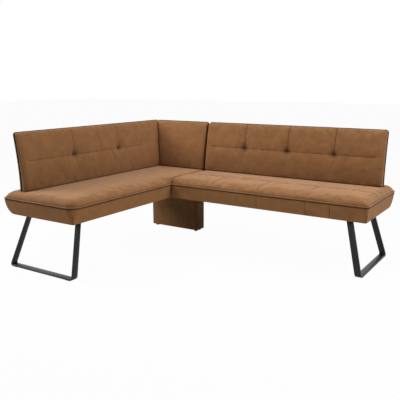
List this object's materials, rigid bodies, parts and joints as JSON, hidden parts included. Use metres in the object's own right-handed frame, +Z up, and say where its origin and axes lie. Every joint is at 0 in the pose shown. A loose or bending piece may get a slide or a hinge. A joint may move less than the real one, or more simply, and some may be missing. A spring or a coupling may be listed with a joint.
{
  "type": "corner bench",
  "caption": "Upholstered corner dining bench with padded backs, flat-bar steel leg frames under its free ends and a covered box under its corner.",
  "frame": {"origin": "centre of the bench's footprint box, on the floor", "axes": "+X along the long wing towards its free end, +Y towards the rear of the long wing, +Z up; the short wing's free end points to -Y"},
  "size_m": [2.067, 1.608, 0.8779],
  "materials": {
    "suede_fabric": "brushed suede-look microfibre",
    "timber": "planed beech and birch plywood",
    "black_steel": "fine-textured black powder coat",
    "black_felt": "needled felt and spun-bonded cloth",
    "webbing": "woven elastic webbing"
  },
  "bodies": {
    "root": {"short_seat_pad": "suede_fabric", "short_seat_border": "suede_fabric", "short_seat_welt": "suede_fabric", "long_seat_pad": "suede_fabric", "long_seat_border": "suede_fabric", "long_seat_welt": "suede_fabric", "short_back_pad": "suede_fabric", "short_back_cover": "suede_fabric", "short_back_welt": "suede_fabric", "corner_back_pad": "suede_fabric", "corner_back_cover": "suede_fabric", "corner_back_welt": "suede_fabric", "long_back_pad": "suede_fabric", "long_back_cover": "suede_fabric", "long_back_welt": "suede_fabric", "corner_support_cover": "suede_fabric", "short_front_rail": "timber", "short_rear_rail": "timber", "short_left_end_rail": "timber", "short_right_end_rail": "timber", "short_cross_rail_1": "timber", "short_cross_rail_2": "timber", "short_flat_rail_1": "timber", "short_flat_rail_2": "timber", "long_front_rail": "timber", "long_rear_rail": "timber", "long_left_end_rail": "timber", "long_right_end_rail": "timber", "long_cross_rail_1": "timber", "long_flat_rail_1": "timber", "short_back_board": "timber", "corner_back_board": "timber", "long_back_board": "timber", "corner_support_box": "timber", "corner_support_base": "timber", "short_back_bracket_1": "black_steel", "short_back_bracket_2": "black_steel", "corner_back_bracket_1": "black_steel", "corner_back_bracket_2": "black_steel", "long_back_bracket_1": "black_steel", "long_back_bracket_2": "black_steel", "short_leg_frame": "black_steel", "long_leg_frame": "black_steel", "joining_plate_1": "black_steel", "joining_plate_2": "black_steel", "short_dust_cover": "black_felt", "long_dust_cover": "black_felt", "short_leg_front_glide": "black_felt", "short_leg_rear_glide": "black_felt", "long_leg_front_glide": "black_felt", "long_leg_rear_glide": "black_felt", "corner_glider_1": "black_felt", "corner_glider_2": "black_felt", "corner_glider_3": "black_felt", "corner_glider_4": "black_felt", "short_seat_webbing": "webbing", "long_seat_webbing": "webbing"}
  },
  "joints": []
}
